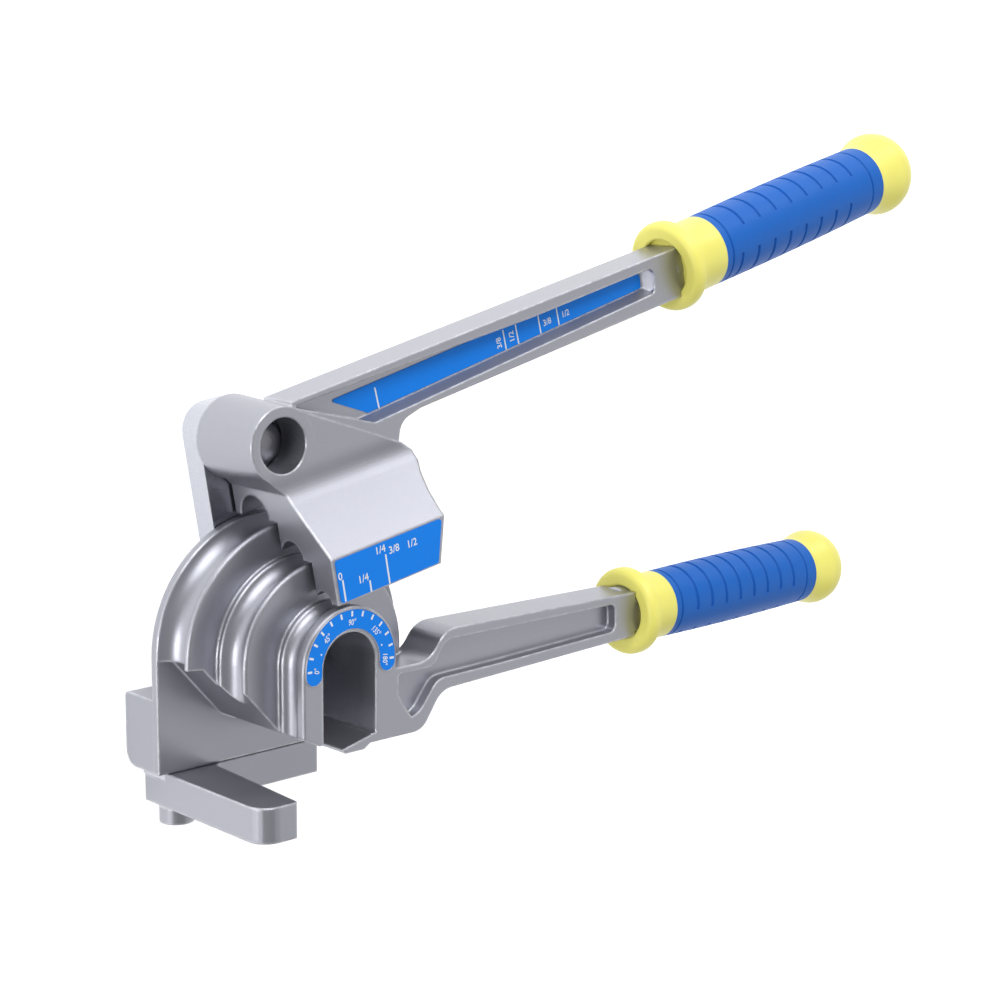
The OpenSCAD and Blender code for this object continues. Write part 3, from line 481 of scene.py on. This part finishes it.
# floor, light and camera
studio = {"floorColour": (0.9, 0.9, 0.9), "floorRoughness": 0.9, "floorGlow": 0.7, "floorDrop": 0.2 * mm,
          "worldStrength": 0.40, "coveRadius": 4.0, "coveHeight": 1.8, "coveBend": 0.8, "coveSides": 96, "coveSteps": 8,
          "lamps": (("keyLamp", (-0.20, 0.85, 0.60), (0.6, 0.6), 5.5),
                    ("grooveLamp", (-1.00, -0.05, 0.25), (0.3, 0.3), 2.6),
                    ("slopeLamp", (0.50, 0.80, 0.42), (0.45, 0.3), 1.35),
                    ("frontLamp", (0.75, -0.15, 0.85), (0.9, 0.9), 1.5)),
          "target": (0.0, 0.02, 0.03)}


def growRim(mesh, rim):
    grown = bmesh.ops.extrude_edge_only(mesh, edges=rim)["geom"]
    verts = [part for part in grown if isinstance(part, bmesh.types.BMVert)]
    return verts, [part for part in grown if isinstance(part, bmesh.types.BMEdge)]


def buildFloor():
    # round floor that bends up into a low wall, seen only from its upper side
    mesh = bmesh.new()
    bmesh.ops.create_circle(mesh, cap_ends=True, segments=studio["coveSides"], radius=studio["coveRadius"])
    rim = [edge for edge in mesh.edges if edge.is_boundary]
    for step in range(1, studio["coveSteps"] + 1):
        turn = math.radians(step * 90 / studio["coveSteps"])
        verts, rim = growRim(mesh, rim)
        radius = studio["coveRadius"] + studio["coveBend"] * math.sin(turn)
        for vert in verts:
            spot = vert.co.xy.normalized() * radius
            vert.co = (spot.x, spot.y, studio["coveBend"] * (1 - math.cos(turn)))
    verts, rim = growRim(mesh, rim)
    bmesh.ops.translate(mesh, verts=verts, vec=(0, 0, studio["coveHeight"] - studio["coveBend"]))
    bmesh.ops.recalc_face_normals(mesh, faces=mesh.faces)
    if next(iter(mesh.faces)).normal.z < 0:
        bmesh.ops.reverse_faces(mesh, faces=mesh.faces)
    bmesh.ops.translate(mesh, verts=mesh.verts, vec=(0, 0, -studio["floorDrop"]))
    for face in mesh.faces:
        face.smooth = True
    data = bpy.data.meshes.new("studioFloor")
    mesh.to_mesh(data)
    mesh.free()
    floor = bpy.data.objects.new("studioFloor", data)
    bpy.context.scene.collection.objects.link(floor)
    material, tree, shader = newMaterial("paleFloor", studio["floorColour"], studio["floorRoughness"])
    shader.inputs["Emission Color"].default_value = (1, 1, 1, 1)
    rays = addNode(tree, "ShaderNodeLightPath").outputs
    seen = addMath(tree, "MAXIMUM", rays["Is Camera Ray"], rays["Is Glossy Ray"])
    seen = addMath(tree, "MAXIMUM", seen, rays["Is Transmission Ray"])
    glow = addMath(tree, "MULTIPLY", seen, studio["floorGlow"])
    tree.links.new(glow, shader.inputs["Emission Strength"])
    side = addNode(tree, "ShaderNodeNewGeometry")
    clear = addNode(tree, "ShaderNodeBsdfTransparent")
    choose = addNode(tree, "ShaderNodeMixShader")
    tree.links.new(side.outputs["Backfacing"], choose.inputs[0])
    tree.links.new(shader.outputs["BSDF"], choose.inputs[1])
    tree.links.new(clear.outputs["BSDF"], choose.inputs[2])
    tree.links.new(choose.outputs[0], tree.nodes["Material Output"].inputs["Surface"])
    data.materials.append(material)


def addLamp(name, place, size, power):
    lamp = bpy.data.lights.new(name, "AREA")
    lamp.shape = "RECTANGLE"
    lamp.size, lamp.size_y = size
    lamp.energy = power
    holder = bpy.data.objects.new(name, lamp)
    bpy.context.scene.collection.objects.link(holder)
    holder.location = place
    holder.rotation_euler = (Vector(studio["target"]) - Vector(place)).to_track_quat("-Z", "Y").to_euler()


# axes of the photograph's view: right, up and towards the camera
photoCamera = {"right": (0.72991, 0.00781, 0.6835), "up": (0.1159, 0.98404, -0.13502),
               "back": (-0.67364, 0.17777, 0.71736), "place": (-0.354665, 0.147433, 0.491605),
               "lens": 76.248, "sensor": 36, "nearClip": 0.01}


def addCamera(settings):
    turn = Matrix((settings["right"], settings["up"], settings["back"])).transposed().to_4x4()
    lens = bpy.data.cameras.new("photoCamera")
    lens.lens = settings["lens"]
    lens.sensor_width = settings["sensor"]
    lens.clip_start = settings["nearClip"]
    holder = bpy.data.objects.new("photoCamera", lens)
    bpy.context.scene.collection.objects.link(holder)
    holder.matrix_world = Matrix.Translation(settings["place"]) @ turn
    bpy.context.scene.camera = holder


def addWorld():
    world = bpy.data.worlds.new("studioWorld")
    world.use_nodes = True
    background = world.node_tree.nodes["Background"]
    background.inputs["Color"].default_value = (1, 1, 1, 1)
    background.inputs["Strength"].default_value = studio["worldStrength"]
    bpy.context.scene.world = world


buildFloor()
for lampSettings in studio["lamps"]:
    addLamp(*lampSettings)
addWorld()
addCamera(photoCamera)
bpy.context.scene.view_settings.view_transform = "Standard"

print("scene built")
